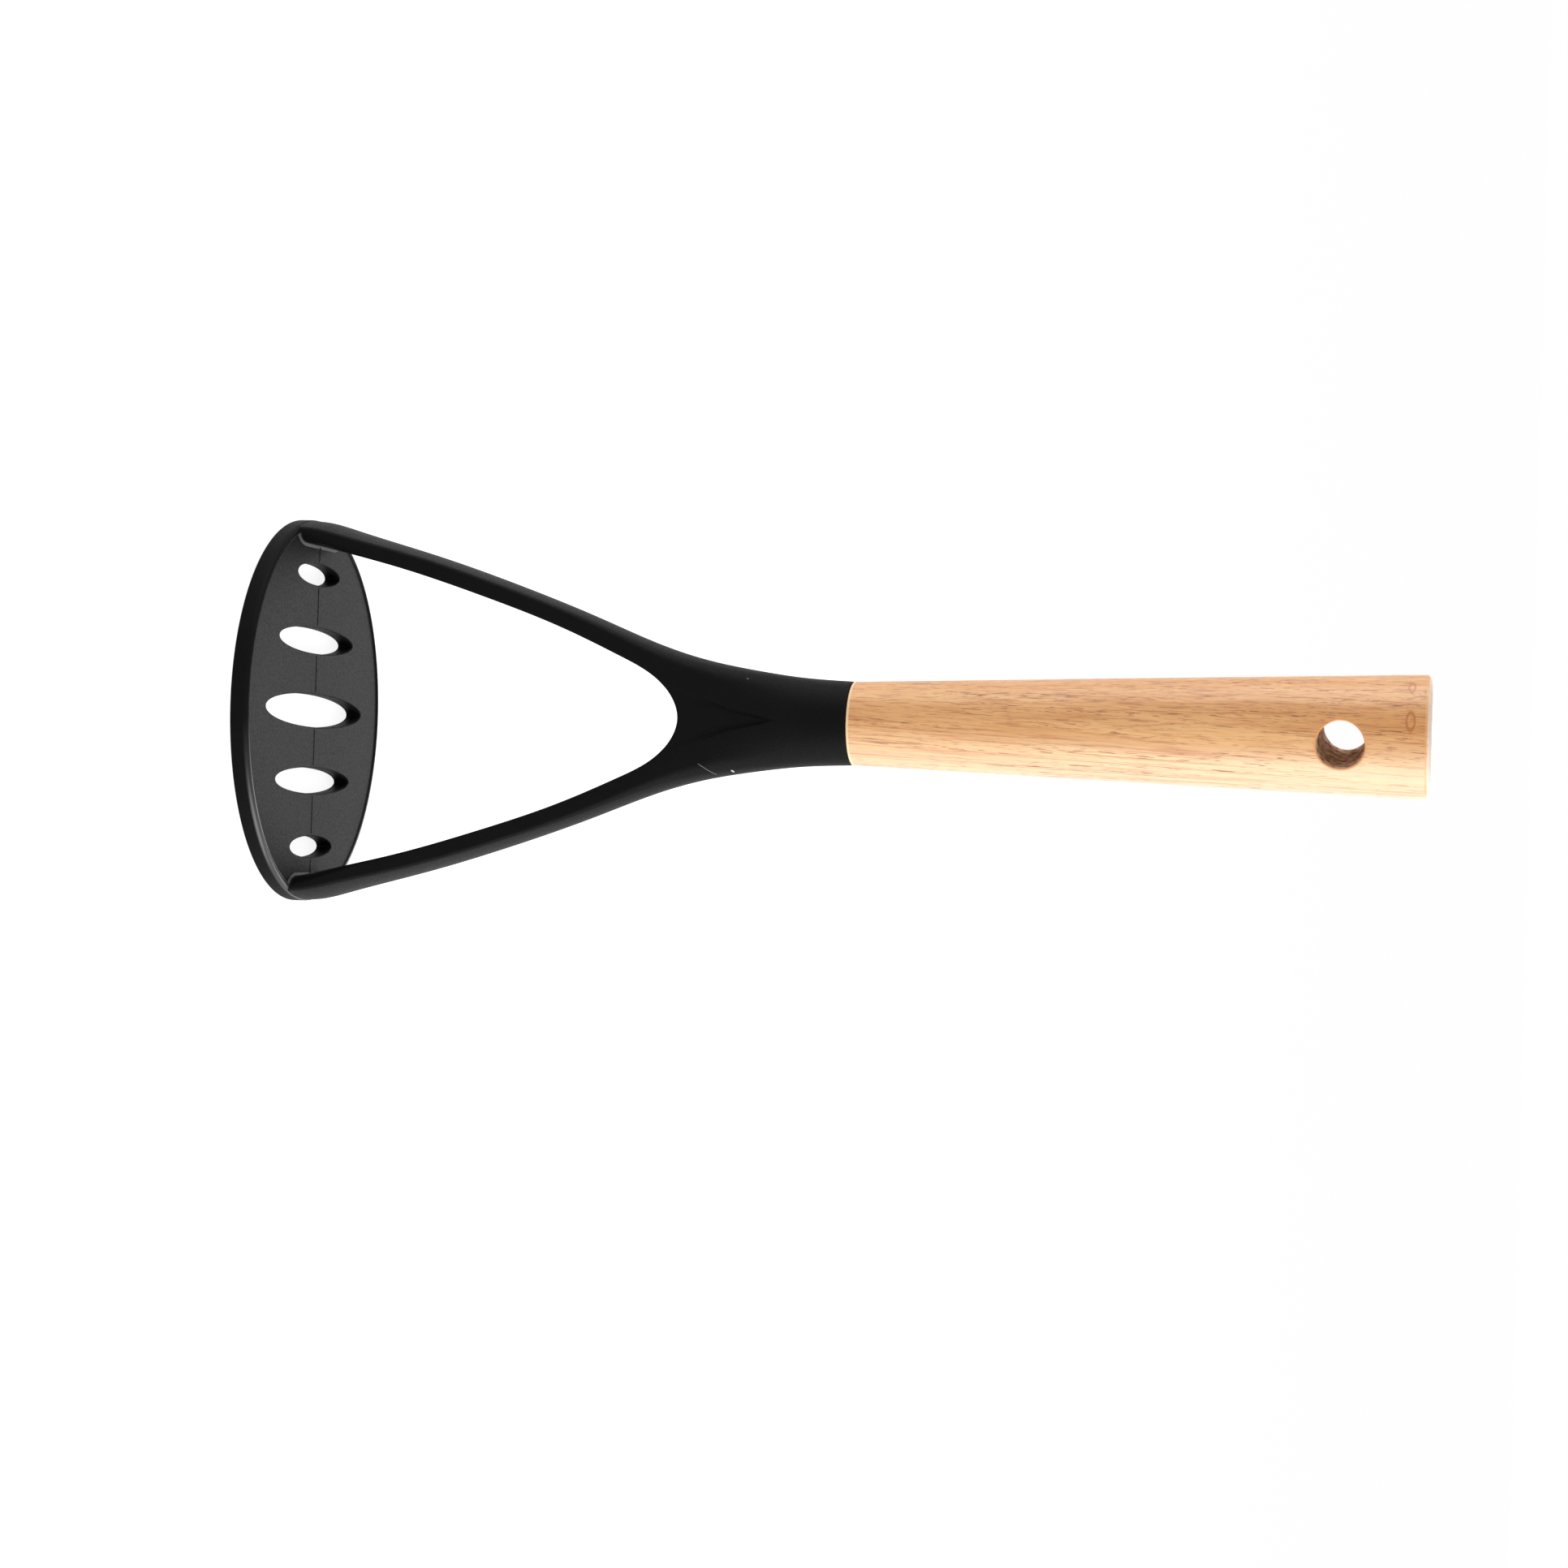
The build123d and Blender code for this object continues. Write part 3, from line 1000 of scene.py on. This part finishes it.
@cache
def grain_group() -> bpy.types.NodeTree:
    """Makes the group for fine uneven grain, once for all the finishes.

    Returns:
        The group, which turns the sizes of a grain and of a patch in millimetres into the grain's
        height and a patchy mask.
    """
    tree = bpy.data.node_groups.new("fine_grain", "ShaderNodeTree")
    shader = Shader(tree)
    for key, value in (("Grain Size", 0.3), ("Patch Size", 9.0)):
        socket = tree.interface.new_socket(key, in_out="INPUT", socket_type="NodeSocketFloat")
        socket.default_value = value
    for key in ("Height", "Patches"):
        tree.interface.new_socket(key, in_out="OUTPUT", socket_type="NodeSocketFloat")
    sizes = shader.node("NodeGroupInput").outputs
    sink = shader.node("NodeGroupOutput")
    for key, size, detail in (("Height", "Grain Size", 2.0), ("Patches", "Patch Size", 4.0)):
        inputs = {"Vector": shader.place, "Scale": shader.math("DIVIDE", 1 / MM, sizes[size])}
        noise = shader.node("ShaderNodeTexNoise", {**inputs, "Detail": detail})
        shader.feed(sink.inputs[key], noise.outputs["Fac"])
    return tree


class Surface(Shader):
    """A material with one surface that is being wired."""

    def __init__(self, name: str) -> None:
        """Starts a material.

        Args:
            name: the material's name.
        """
        self.material = bpy.data.materials.new(name)
        self.material.use_nodes = True
        super().__init__(self.material.node_tree)
        self.face = self.node("ShaderNodeBsdfPrincipled")
        self.node("ShaderNodeOutputMaterial", {"Surface": self.face.outputs[0]})

    def give(self, **values: object) -> None:
        """Feeds the surface's sockets, whose names are written with _ for a space."""
        for key, value in values.items():
            self.feed(self.face.inputs[key.replace("_", " ")], value)

    def grain(self, size: float, patch: float = 9.0) -> list[Socket]:
        """Places the grain group and returns its height and its patches."""
        sizes = {"Grain Size": size, "Patch Size": patch}
        return list(self.node("ShaderNodeGroup", sizes, node_tree=grain_group()).outputs)

    def bump(self, height: Socket, depth: float, strength: float = 1.0) -> None:
        """Raises the surface by a height, to a depth in millimetres."""
        inputs = {"Strength": strength, "Distance": depth * MM, "Height": height}
        self.give(Normal=self.node("ShaderNodeBump", inputs).outputs[0])


@dataclass(frozen=True)
class NylonFinish:
    """Satin moulded nylon, dark grey, with a fine grain and a few pale scuffs."""

    name: str
    base: tuple = (11, 11, 12)
    pale: tuple = (18, 18, 19)
    scuffed: tuple = (80, 80, 81)
    scuffs: Noise = Noise(0.9, 0.16, detail=5.0, rough=0.7)
    scuff_range: tuple = (0.70, 0.78)
    scuff_strength: float = 0.25
    roughness: tuple = (0.49, 0.63)
    grain_size: float = 0.5
    grain_height: float = 0.1
    grain_strength: float = 0.6
    shine: float = 0.043

    def make(self) -> Material:
        """Makes the material.

        Returns:
            The material.
        """
        surface = Surface(self.name)
        spread = surface.spread
        height, patches = surface.grain(self.grain_size)
        patchy = spread(patches, 0.35, 0.65, 0.0, 0.35)
        share = surface.math("ADD", patchy, spread(height, 0.35, 0.7, 0.0, 0.5))
        scuff = spread(surface.noise(surface.place, self.scuffs), *self.scuff_range)
        scuff = surface.times(scuff, self.scuff_strength)
        base = surface.mix(scuff, surface.mix(share, self.base, self.pale), self.scuffed)
        surface.give(
            Base_Color=self.wear_and_painted_light(surface, base),
            Roughness=spread(height, 0.3, 0.7, *self.roughness),
            Specular_IOR_Level=self.shine,
        )
        surface.bump(height, self.grain_height, self.grain_strength)
        return surface.material

    def wear_and_painted_light(self, surface: Surface, base: Socket) -> Socket:
        """Gives the colour with the wear and the painted light of its own piece; plain nylon has neither."""
        return base


@dataclass(frozen=True)
class DiscNylonFinish(NylonFinish):
    """The disc's nylon, with a painted highlight and a shinier coat on its lip towards the right."""

    name: str = "nylon_disc"
    # Painted highlight: the lip's paler colour on its right side, where the lamp catches it.
    rim: tuple = (42, 42, 44)
    rim_reach: tuple = (40.9, 41.3)
    rim_rise: tuple = (-0.7, -0.2)
    highlight_sides: tuple = (3.0, 24.0)
    polish: float = 0.8
    polish_roughness: float = 0.3

    def wear_and_painted_light(self, surface: Surface, base: Socket) -> Socket:
        """Adds a painted highlight on the lip towards the right, where the lamp catches it, to the colour,
        and a shinier coat there.

        Args:
            surface: the material.
            base: the colour so far.

        Returns:
            The colour with the painted highlight on the lip.
        """
        times, spread = surface.times, surface.spread
        x, y, z = surface.in_mm
        rim = spread(surface.length(x, y), *self.rim_reach)
        mask = times(rim, surface.fade(z, WEB_TOP, self.rim_rise))
        mask = times(mask, spread(x, *self.highlight_sides))
        surface.give(Coat_Weight=times(mask, self.polish), Coat_Roughness=self.polish_roughness)
        # Painted highlight: the paler lip colour laid over the base.
        return surface.mix(mask, base, self.rim)


@dataclass(frozen=True)
class ForkNylonFinish(NylonFinish):
    """The fork's nylon, with a painted highlight on the fillets at its feet, painted shade in the creases at
    the neck and small marks.

    A mark is X and Z of its two ends, its half width and its strength.
    """

    name: str = "nylon_fork"
    base: tuple = (6, 6, 7)
    pale: tuple = (12, 12, 13)
    shine: float = 0.063
    # Painted highlight: pale colour on the fillets where the arms meet the disc.
    painted_fillet_highlight: tuple = (80, 80, 82)
    fillet_highlight_reach: tuple = (38.8, 38.4)
    fillet_highlight_rise: tuple = (0.6, 0.25)
    # Painted shade: black along the creases at the walls of the pocket.
    crease_shade: tuple = (0, 0, 0)
    crease_half: float = 0.62
    line_core: float = 0.4
    crease_start: tuple = (88.0, 99.0)
    crease_end: tuple = (110.9, 110.3)
    marked: tuple = (200, 200, 202)
    marks: tuple = (
        (9.7, 93.9, 11.9, 97.2, 0.09, 0.25),
        (11.0, 100.8, 11.1, 101.0, 0.24, 0.9),
        (-9.0, 104.0, -9.0, 104.2, 0.16, 0.25),
    )

    def wear_and_painted_light(self, surface: Surface, base: Socket) -> Socket:
        """Adds the painted highlight on the fillets, the painted shade in the creases of the pocket and the
        marks to the colour.

        Args:
            surface: the material.
            base: the colour so far.

        Returns:
            The colour with its wear and its painted light.
        """
        times, spread = surface.times, surface.spread
        x, y, z = surface.in_mm
        wide = surface.math("ABSOLUTE", x)
        # Painted highlight on the fillets at the arms' feet.
        root = times(spread(wide, *self.fillet_highlight_reach), surface.fade(z, WEB_TOP, self.fillet_highlight_rise))
        front = spread(y, 0.0, -1.0)
        marks = [(times(self._mark(surface, mark), front), self.marked) for mark in self.marks]
        # Painted shade in the two creases of the pocket.
        crease_shade = self._crease_shade(surface, wide)
        # Lays the painted highlight, then the painted shade in the creases, then the marks.
        return surface.layers(base, (root, self.painted_fillet_highlight), (crease_shade, self.crease_shade), *marks)

    def _crease_shade(self, surface: Surface, wide: Socket) -> Socket:
        """Draws painted shade along the two creases that close to a point where the arms become the neck.

        Args:
            surface: the material.
            wide: the distance from the middle.

        Returns:
            The painted shade's mask.
        """
        spread, z = surface.spread, surface.in_mm[2]
        half = 0.0
        for i in range(len(POCKET_HEIGHTS) - 1):
            fall = POCKET_HALVES[i] - POCKET_HALVES[i + 1]
            half = surface.math("ADD", half, spread(z, *POCKET_HEIGHTS[i:i + 2], fall, 0.0))
        off = surface.math("ADD", surface.math("SUBTRACT", wide, half), self.crease_half * 0.5)
        line = spread(surface.math("ABSOLUTE", off), self.crease_half, self.crease_half * self.line_core)
        return surface.times(line, surface.times(spread(z, *self.crease_start), spread(z, *self.crease_end)))

    def _mark(self, surface: Surface, mark: tuple) -> Socket:
        """Draws a short scratch.

        Args:
            surface: the material.
            mark: X and Z of its two ends, its half width and its strength.

        Returns:
            The scratch's mask.
        """
        x, _, z = surface.in_mm
        x0, z0, x1, z1, half, strength = mark
        length = math.hypot(x1 - x0, z1 - z0)
        ux, uz = (x1 - x0) / length, (z1 - z0) / length
        dx, dz = (surface.math("SUBTRACT", place, start) for place, start in ((x, x0), (z, z0)))
        along = surface.math("MULTIPLY_ADD", dx, ux, surface.times(dz, uz))
        past = surface.math("SUBTRACT", along, surface.spread(along, 0.0, length, 0.0, length))
        across = surface.math("SUBTRACT", surface.times(dx, uz), surface.times(dz, ux))
        off = surface.length(past, across)
        return surface.spread(off, half, half * self.line_core, 0.0, strength)


@dataclass(frozen=True)
class WoodFinish:
    """Pale lacquered wood with short brown pores, faint bands along the handle and two small knots, with
    painted highlights on its +X side, at the collar's mouth and on the butt's rounded edge.

    A knot is its middle in X and Z and its half sizes. The growth rings run round a heart outside
    the handle, which is given in X and Y. A rise or a fall is where a colour comes in or goes out,
    from the height that it goes by or from the hole's wall.
    """

    cream: tuple = (238, 193, 138)
    honey: tuple = (212, 154, 94)
    fibre: tuple = (232, 212, 190)
    # Painted highlight: paler wood on the +X side, where the right lamp falls.
    painted_lit_side: tuple = (212, 189, 160)
    streak: tuple = (186, 112, 62)
    band: tuple = (200, 139, 80)
    pore: tuple = (136, 74, 38)
    ring: tuple = (170, 98, 38)
    # Painted highlight on the rounded mouth of the handle at the collar.
    mouth: tuple = (238, 212, 172)
    # Painted highlight on the rounded edge of the butt.
    end: tuple = (240, 232, 222)
    seam: tuple = (226, 158, 88)
    face: tuple = (206, 172, 132)
    scorched: tuple = (214, 138, 72)
    roughness: tuple = (0.37, 0.50)
    lacquer: float = 0.25
    lacquer_roughness: float = 0.25
    grain_lean: float = 2.5
    grain_height: float = 0.05
    end_height: float = 248.8
    seam_rise: tuple = (-0.35, -0.1)
    seam_fall: tuple = (0.35, 0.1)
    end_highlight_rise: tuple = (0.1, 0.4)
    face_rise: tuple = (-0.25, -0.05)
    mouth_highlight_fall: tuple = (0.75, 0.45)
    scorched_fall: tuple = (0.75, 0.35)
    painted_lit_side_range: tuple = (4.0, 15.0)
    painted_lit_side_waver: float = 6.0
    ring_waver: float = 1.6
    ring_turn: float = 3.0
    knots: tuple = ((-2.8, 245.6, 1.8, 0.85), (-9.9, 245.6, 0.9, 0.65))
    heart: tuple = (-31.0, 17.0)
    broad: Noise = Noise(0.11, 0.006)
    bands: Noise = Noise(0.75, 0.012, (3, 1, 2), rough=0.6)
    fibres: Noise = Noise(4.5, 0.10, (1, 5, 2), rough=0.6)
    streaks: Noise = Noise(1.7, 0.022, (5, 2, 7), rough=0.55)
    lines: Noise = Noise(2.3, 0.007, (9, 4, 3), detail=2.0)
    drifts: Noise = Noise(0.45, 0.020, (2, 8, 1), detail=2.0)
    broad_pores: Noise = Noise(2.6, 0.17, (7, 3, 4), detail=2.0)
    fine_pores: Noise = Noise(5.0, 0.30, (4, 9, 6), detail=2.0)

    def make(self) -> Material:
        """Makes the material.

        Returns:
            The material.
        """
        surface = Surface("handle_wood_lacquered")
        times, spread, fade, end = surface.times, surface.spread, surface.fade, self.end_height
        lean = {"Vector": surface.place, "Rotation": (0, math.radians(-self.grain_lean), 0)}
        along = surface.node("ShaderNodeMapping", lean).outputs[0]
        x, _, z = surface.in_mm
        broad, bands, fibres, streaks, lines = (
            surface.noise(along, noise)
            for noise in (self.broad, self.bands, self.fibres, self.streaks, self.lines)
        )
        pores = self._pores(surface, along)
        base = surface.mix(spread(broad, 0.35, 0.65), self.cream, self.honey)
        base = surface.mix(times(spread(bands, 0.48, 0.68), 0.6), base, self.band)
        fibrous = surface.mix(1.0, base, self.fibre, Blend.MULTIPLY)
        # Painted highlight: how far towards +X a place lies, with a wavering edge.
        side = surface.math("MULTIPLY_ADD", bands, self.painted_lit_side_waver, x)
        seam = times(fade(z, end, self.seam_rise), fade(z, end, self.seam_fall))
        face = fade(z, BUTT_HEIGHT, self.face_rise)
        base = surface.layers(
            base,
            (spread(fibres, 0.3, 0.7, 0.0, 0.6), fibrous),
            # Painted highlight on the +X side.
            (spread(side, *self.painted_lit_side_range, 0.0, 0.8), self.painted_lit_side),
            (spread(streaks, 0.55, 0.66, 0.0, 0.5), self.streak),
            (spread(lines, 0.60, 0.66, 0.0, 0.45), self.pore),
            (times(pores, 0.9), self.pore),
            *((self._knot(surface, knot), self.ring) for knot in self.knots),
            (times(fade(self._from_hole(surface), 0.0, self.scorched_fall), 0.55), self.scorched),
            # Painted highlight on the mouth's rounded edge.
            (times(fade(z, SEAM_HEIGHT, self.mouth_highlight_fall), 0.8), self.mouth),
            (times(seam, 0.7), self.seam),
            # Painted highlight on the butt's rounded edge.
            (times(fade(z, end, self.end_highlight_rise), 0.62), self.end),
            (times(face, 0.75), self.face),
            (times(self._end_rings(surface, bands), face), self.ring),
        )
        surface.give(
            Base_Color=base,
            Roughness=spread(fibres, 0.3, 0.7, *self.roughness),
            Coat_Weight=self.lacquer,
            Coat_Roughness=self.lacquer_roughness,
        )
        surface.bump(surface.math("SUBTRACT", fibres, pores), self.grain_height, 0.5)
        return surface.material

    def _pores(self, surface: Surface, along: Socket) -> Socket:
        """Draws the short pores, some broad and many fine, in drifts along the handle.

        Args:
            surface: the material.
            along: the place, turned along the grain.

        Returns:
            1 in a pore and 0 elsewhere.
        """
        times, spread = surface.times, surface.spread
        drift, broad, fine = (
            surface.noise(along, noise) for noise in (self.drifts, self.broad_pores, self.fine_pores)
        )
        broad = times(spread(broad, 0.615, 0.66), spread(drift, 0.42, 0.58))
        fine = times(spread(fine, 0.595, 0.65), spread(drift, 0.36, 0.60, 0.25, 0.8))
        return surface.math("MAXIMUM", broad, fine)

    def _end_rings(self, surface: Surface, waver: Socket) -> Socket:
        """Draws the growth rings on the butt end.

        Args:
            surface: the material.
            waver: noise that bends the rings a little.

        Returns:
            The rings' mask.
        """
        offs = (surface.math("ADD", place, -heart) for place, heart in zip(surface.in_mm, self.heart))
        away = surface.math("MULTIPLY_ADD", waver, self.ring_waver, surface.length(*offs))
        wave = surface.math("SINE", surface.times(away, self.ring_turn))
        return surface.spread(wave, 0.2, 1.0, 0.0, 0.15)

    def _knot(self, surface: Surface, knot: tuple) -> Socket:
        """Draws the outline of a small knot on the front of the handle.

        Args:
            surface: the material.
            knot: its middle in X and Z, and its half sizes.

        Returns:
            The outline's mask.
        """
        x, y, z = surface.in_mm
        offs = (
            surface.math("DIVIDE", surface.math("SUBTRACT", place, middle), half)
            for place, middle, half in zip((x, z), knot[:2], knot[2:])
        )
        off = surface.math("ABSOLUTE", surface.math("SUBTRACT", surface.length(*offs), 1.0))
        return surface.times(surface.spread(off, 0.35, 0.08, 0.0, 0.85), surface.spread(y, 0.0, -1.0))

    def _from_hole(self, surface: Surface) -> Socket:
        """Measures how far a place lies outside the hole's wall.

        Args:
            surface: the material.

        Returns:
            The distance from the wall in millimetres, below 0 in the hole.
        """
        turn = math.radians(HOLE_TURN - 90)
        axis = (math.cos(turn), math.sin(turn), 0)
        off = surface.place
        for operation, second in (("SUBTRACT", (0, 0, HOLE_HEIGHT * MM)), ("CROSS_PRODUCT", axis)):
            node = surface.node("ShaderNodeVectorMath", {0: off, 1: second}, operation=operation)
            off = node.outputs[0]
        length = surface.node("ShaderNodeVectorMath", {0: off}, operation="LENGTH").outputs["Value"]
        return surface.math("MULTIPLY_ADD", length, 1 / MM, -HOLE_RADIUS)


@dataclass(frozen=True)
class BoredWoodFinish:
    """Bare, darkened wood in the drilled hole, rough and dull."""

    dark: tuple = (150, 112, 88)
    light: tuple = (232, 204, 178)
    roughness: float = 0.9
    grain_size: float = 0.5
    patch_size: float = 1.4
    grain_height: float = 0.1

    def make(self) -> Material:
        """Makes the material.

        Returns:
            The material.
        """
        surface = Surface("handle_wood_bored")
        height, patches = surface.grain(self.grain_size, self.patch_size)
        base = surface.mix(surface.spread(patches, 0.35, 0.65), self.dark, self.light)
        surface.give(Base_Color=base, Roughness=self.roughness, Specular_IOR_Level=0.0)
        surface.bump(height, self.grain_height)
        return surface.material


@dataclass(frozen=True)
class GlueFinish:
    """Cured amber glue, glossy, with small bubbles."""

    base: tuple = (226, 212, 176)
    bubble: tuple = (246, 238, 214)
    bubble_size: float = 0.8
    bubble_height: float = 0.04
    roughness: tuple = (0.2, 0.35)

    def make(self) -> Material:
        """Makes the material.

        Returns:
            The material.
        """
        surface = Surface("glue_cured")
        height, patches = surface.grain(self.bubble_size)
        bubbles = surface.spread(height, 0.62, 0.7)
        rough = surface.spread(patches, 0.3, 0.7, *self.roughness)
        surface.give(Base_Color=surface.mix(bubbles, self.base, self.bubble), Roughness=rough)
        surface.bump(bubbles, self.bubble_height)
        return surface.material


@dataclass(frozen=True)
class Lamp:
    """A soft rectangular lamp, with its place, its aim and its size in metres."""

    name: str
    at: tuple
    aim: tuple
    size: tuple
    power: float

    def build(self) -> None:
        """Adds the lamp to the scene."""
        data = bpy.data.lights.new(self.name, "AREA")
        data.shape = "RECTANGLE"
        data.size, data.size_y = self.size
        data.energy = self.power
        lamp = link(self.name, data)
        lamp.location = self.at
        lamp.rotation_euler = (Vector(self.aim) - Vector(self.at)).to_track_quat("-Z", "Y").to_euler()


@dataclass(frozen=True)
class Camera:
    """The camera that took the photograph, on its side, in metres and radians.

    The focal length is in the photograph's own pixels, and so is the photograph's width.
    """

    distance: float = 0.7426136
    height: float = 0.2765860
    yaw: float = 0.02803014
    target: tuple = (0.0134742, 0.0, 0.1115085)
    roll: float = 0.0278741
    focal: float = 4317.726
    picture: int = 1932
    sensor: float = 36.0
    clip_end: float = 200.0

    def build(self) -> None:
        """Places the camera where the photograph was taken from."""
        at = Vector((self.distance * math.sin(self.yaw), -self.distance * math.cos(self.yaw), self.height))
        ahead = (Vector(self.target) - at).normalized()
        right = ahead.cross(Vector((0, 0, 1))).normalized()
        up = right.cross(ahead)
        turned_right = math.cos(self.roll) * right + math.sin(self.roll) * up
        turned_up = -math.sin(self.roll) * right + math.cos(self.roll) * up
        data = bpy.data.cameras.new("camera")
        data.sensor_width = self.sensor
        data.lens = self.focal / self.picture * data.sensor_width
        data.clip_end = self.clip_end
        camera = link("camera", data)
        axes = Matrix((turned_up, -turned_right, -ahead)).transposed()
        camera.matrix_world = Matrix.Translation(at) @ axes.to_4x4()
        bpy.context.scene.camera = camera


@dataclass
class Stage:
    """The pale floor, the soft lights and the camera."""

    floor_size: float = 60.0
    world_light: float = 0.38
    floor_glow: float = 0.86
    floor_shade: float = 0.35
    floor_bounce: float = 0.8
    lamps: tuple = (
        Lamp("lamp_right", (0.85, -0.25, 0.45), (0.0, 0.0, 0.13), (0.9, 0.9), 12.4),
        Lamp("lamp_back", (0.1, 0.9, 0.55), (0.0, 0.0, 0.05), (1.1, 0.7), 7.5),
        Lamp("lamp_left", (-0.8, -0.08, 0.25), (0.0, 0.0, 0.10), (0.6, 0.9), 6.4),
    )

    def build(self) -> None:
        """Builds the floor, the world, the lamps and the camera."""
        self._floor()
        self._world()
        for piece in (*self.lamps, Camera()):
            piece.build()

    def _finish(self, shader: Shader, kind: str, unseen: Socket, seen: Socket) -> None:
        """Ends a background that shows one face where it is seen, and another where it only lights.

        Args:
            shader: the background's wiring.
            kind: the output node's kind.
            unseen: what lights the object.
            seen: what the camera, or a shiny or clear surface, looks straight at.
        """
        path = shader.node("ShaderNodeLightPath").outputs
        share = shader.math("MAXIMUM", path["Is Camera Ray"], path["Is Glossy Ray"])
        share = shader.math("MAXIMUM", share, path["Is Transmission Ray"])
        mix = shader.node("ShaderNodeMixShader", {0: share, 1: unseen, 2: seen})
        shader.node(kind, {"Surface": mix.outputs[0]})

    def _floor(self) -> None:
        """Builds the floor, which stays white where it is seen and keeps the object's shadow."""
        half = self.floor_size / 2
        corners = [(-half, -half, 0), (half, -half, 0), (half, half, 0), (-half, half, 0)]
        mesh = bpy.data.meshes.new("floor")
        mesh.from_pydata(corners, [], [(0, 1, 2, 3)])
        floor = link("floor", mesh)
        material = bpy.data.materials.new("floor_white")
        material.use_nodes = True
        shader = Shader(material.node_tree)
        shade, bounce = (
            shader.node("ShaderNodeBsdfDiffuse", {"Color": (grey, grey, grey, 1)}).outputs[0]
            for grey in (self.floor_shade, self.floor_bounce)
        )
        glow = shader.node("ShaderNodeEmission", {"Strength": self.floor_glow}).outputs[0]
        both = shader.node("ShaderNodeAddShader", {0: shade, 1: glow})
        self._finish(shader, "ShaderNodeOutputMaterial", bounce, both.outputs[0])
        mesh.materials.append(material)

    def _world(self) -> None:
        """Makes the world an even soft light, white where it is seen."""
        world = bpy.data.worlds.new("studio")
        bpy.context.scene.world = world
        world.use_nodes = True
        shader = Shader(world.node_tree)
        light, white = (
            shader.node("ShaderNodeBackground", {"Strength": strength, "Color": WHITE}).outputs[0]
            for strength in (self.world_light, 1.0)
        )
        self._finish(shader, "ShaderNodeOutputWorld", light, white)


def main() -> None:
    """Builds the stage, the head, the handle and the glue."""
    logging.basicConfig(level=logging.INFO, format="%(message)s")
    bpy.context.scene.view_settings.view_transform = "Standard"
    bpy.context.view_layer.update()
    Stage().build()
    for piece in (
        Fork().build(ForkNylonFinish().make()),
        Disc().build(DiscNylonFinish().make()),
        Handle().build(WoodFinish().make(), BoredWoodFinish().make()),
    ):
        LOG.info("%s: %d points, %d faces", piece.name, len(piece.data.vertices), len(piece.data.polygons))
    glue = GlueFinish().make()
    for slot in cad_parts["adhesive_bond"].material_slots:
        slot.material = glue
    LOG.info("adhesive_bond: keeps its solid")


if __name__ == "__main__":
    main()
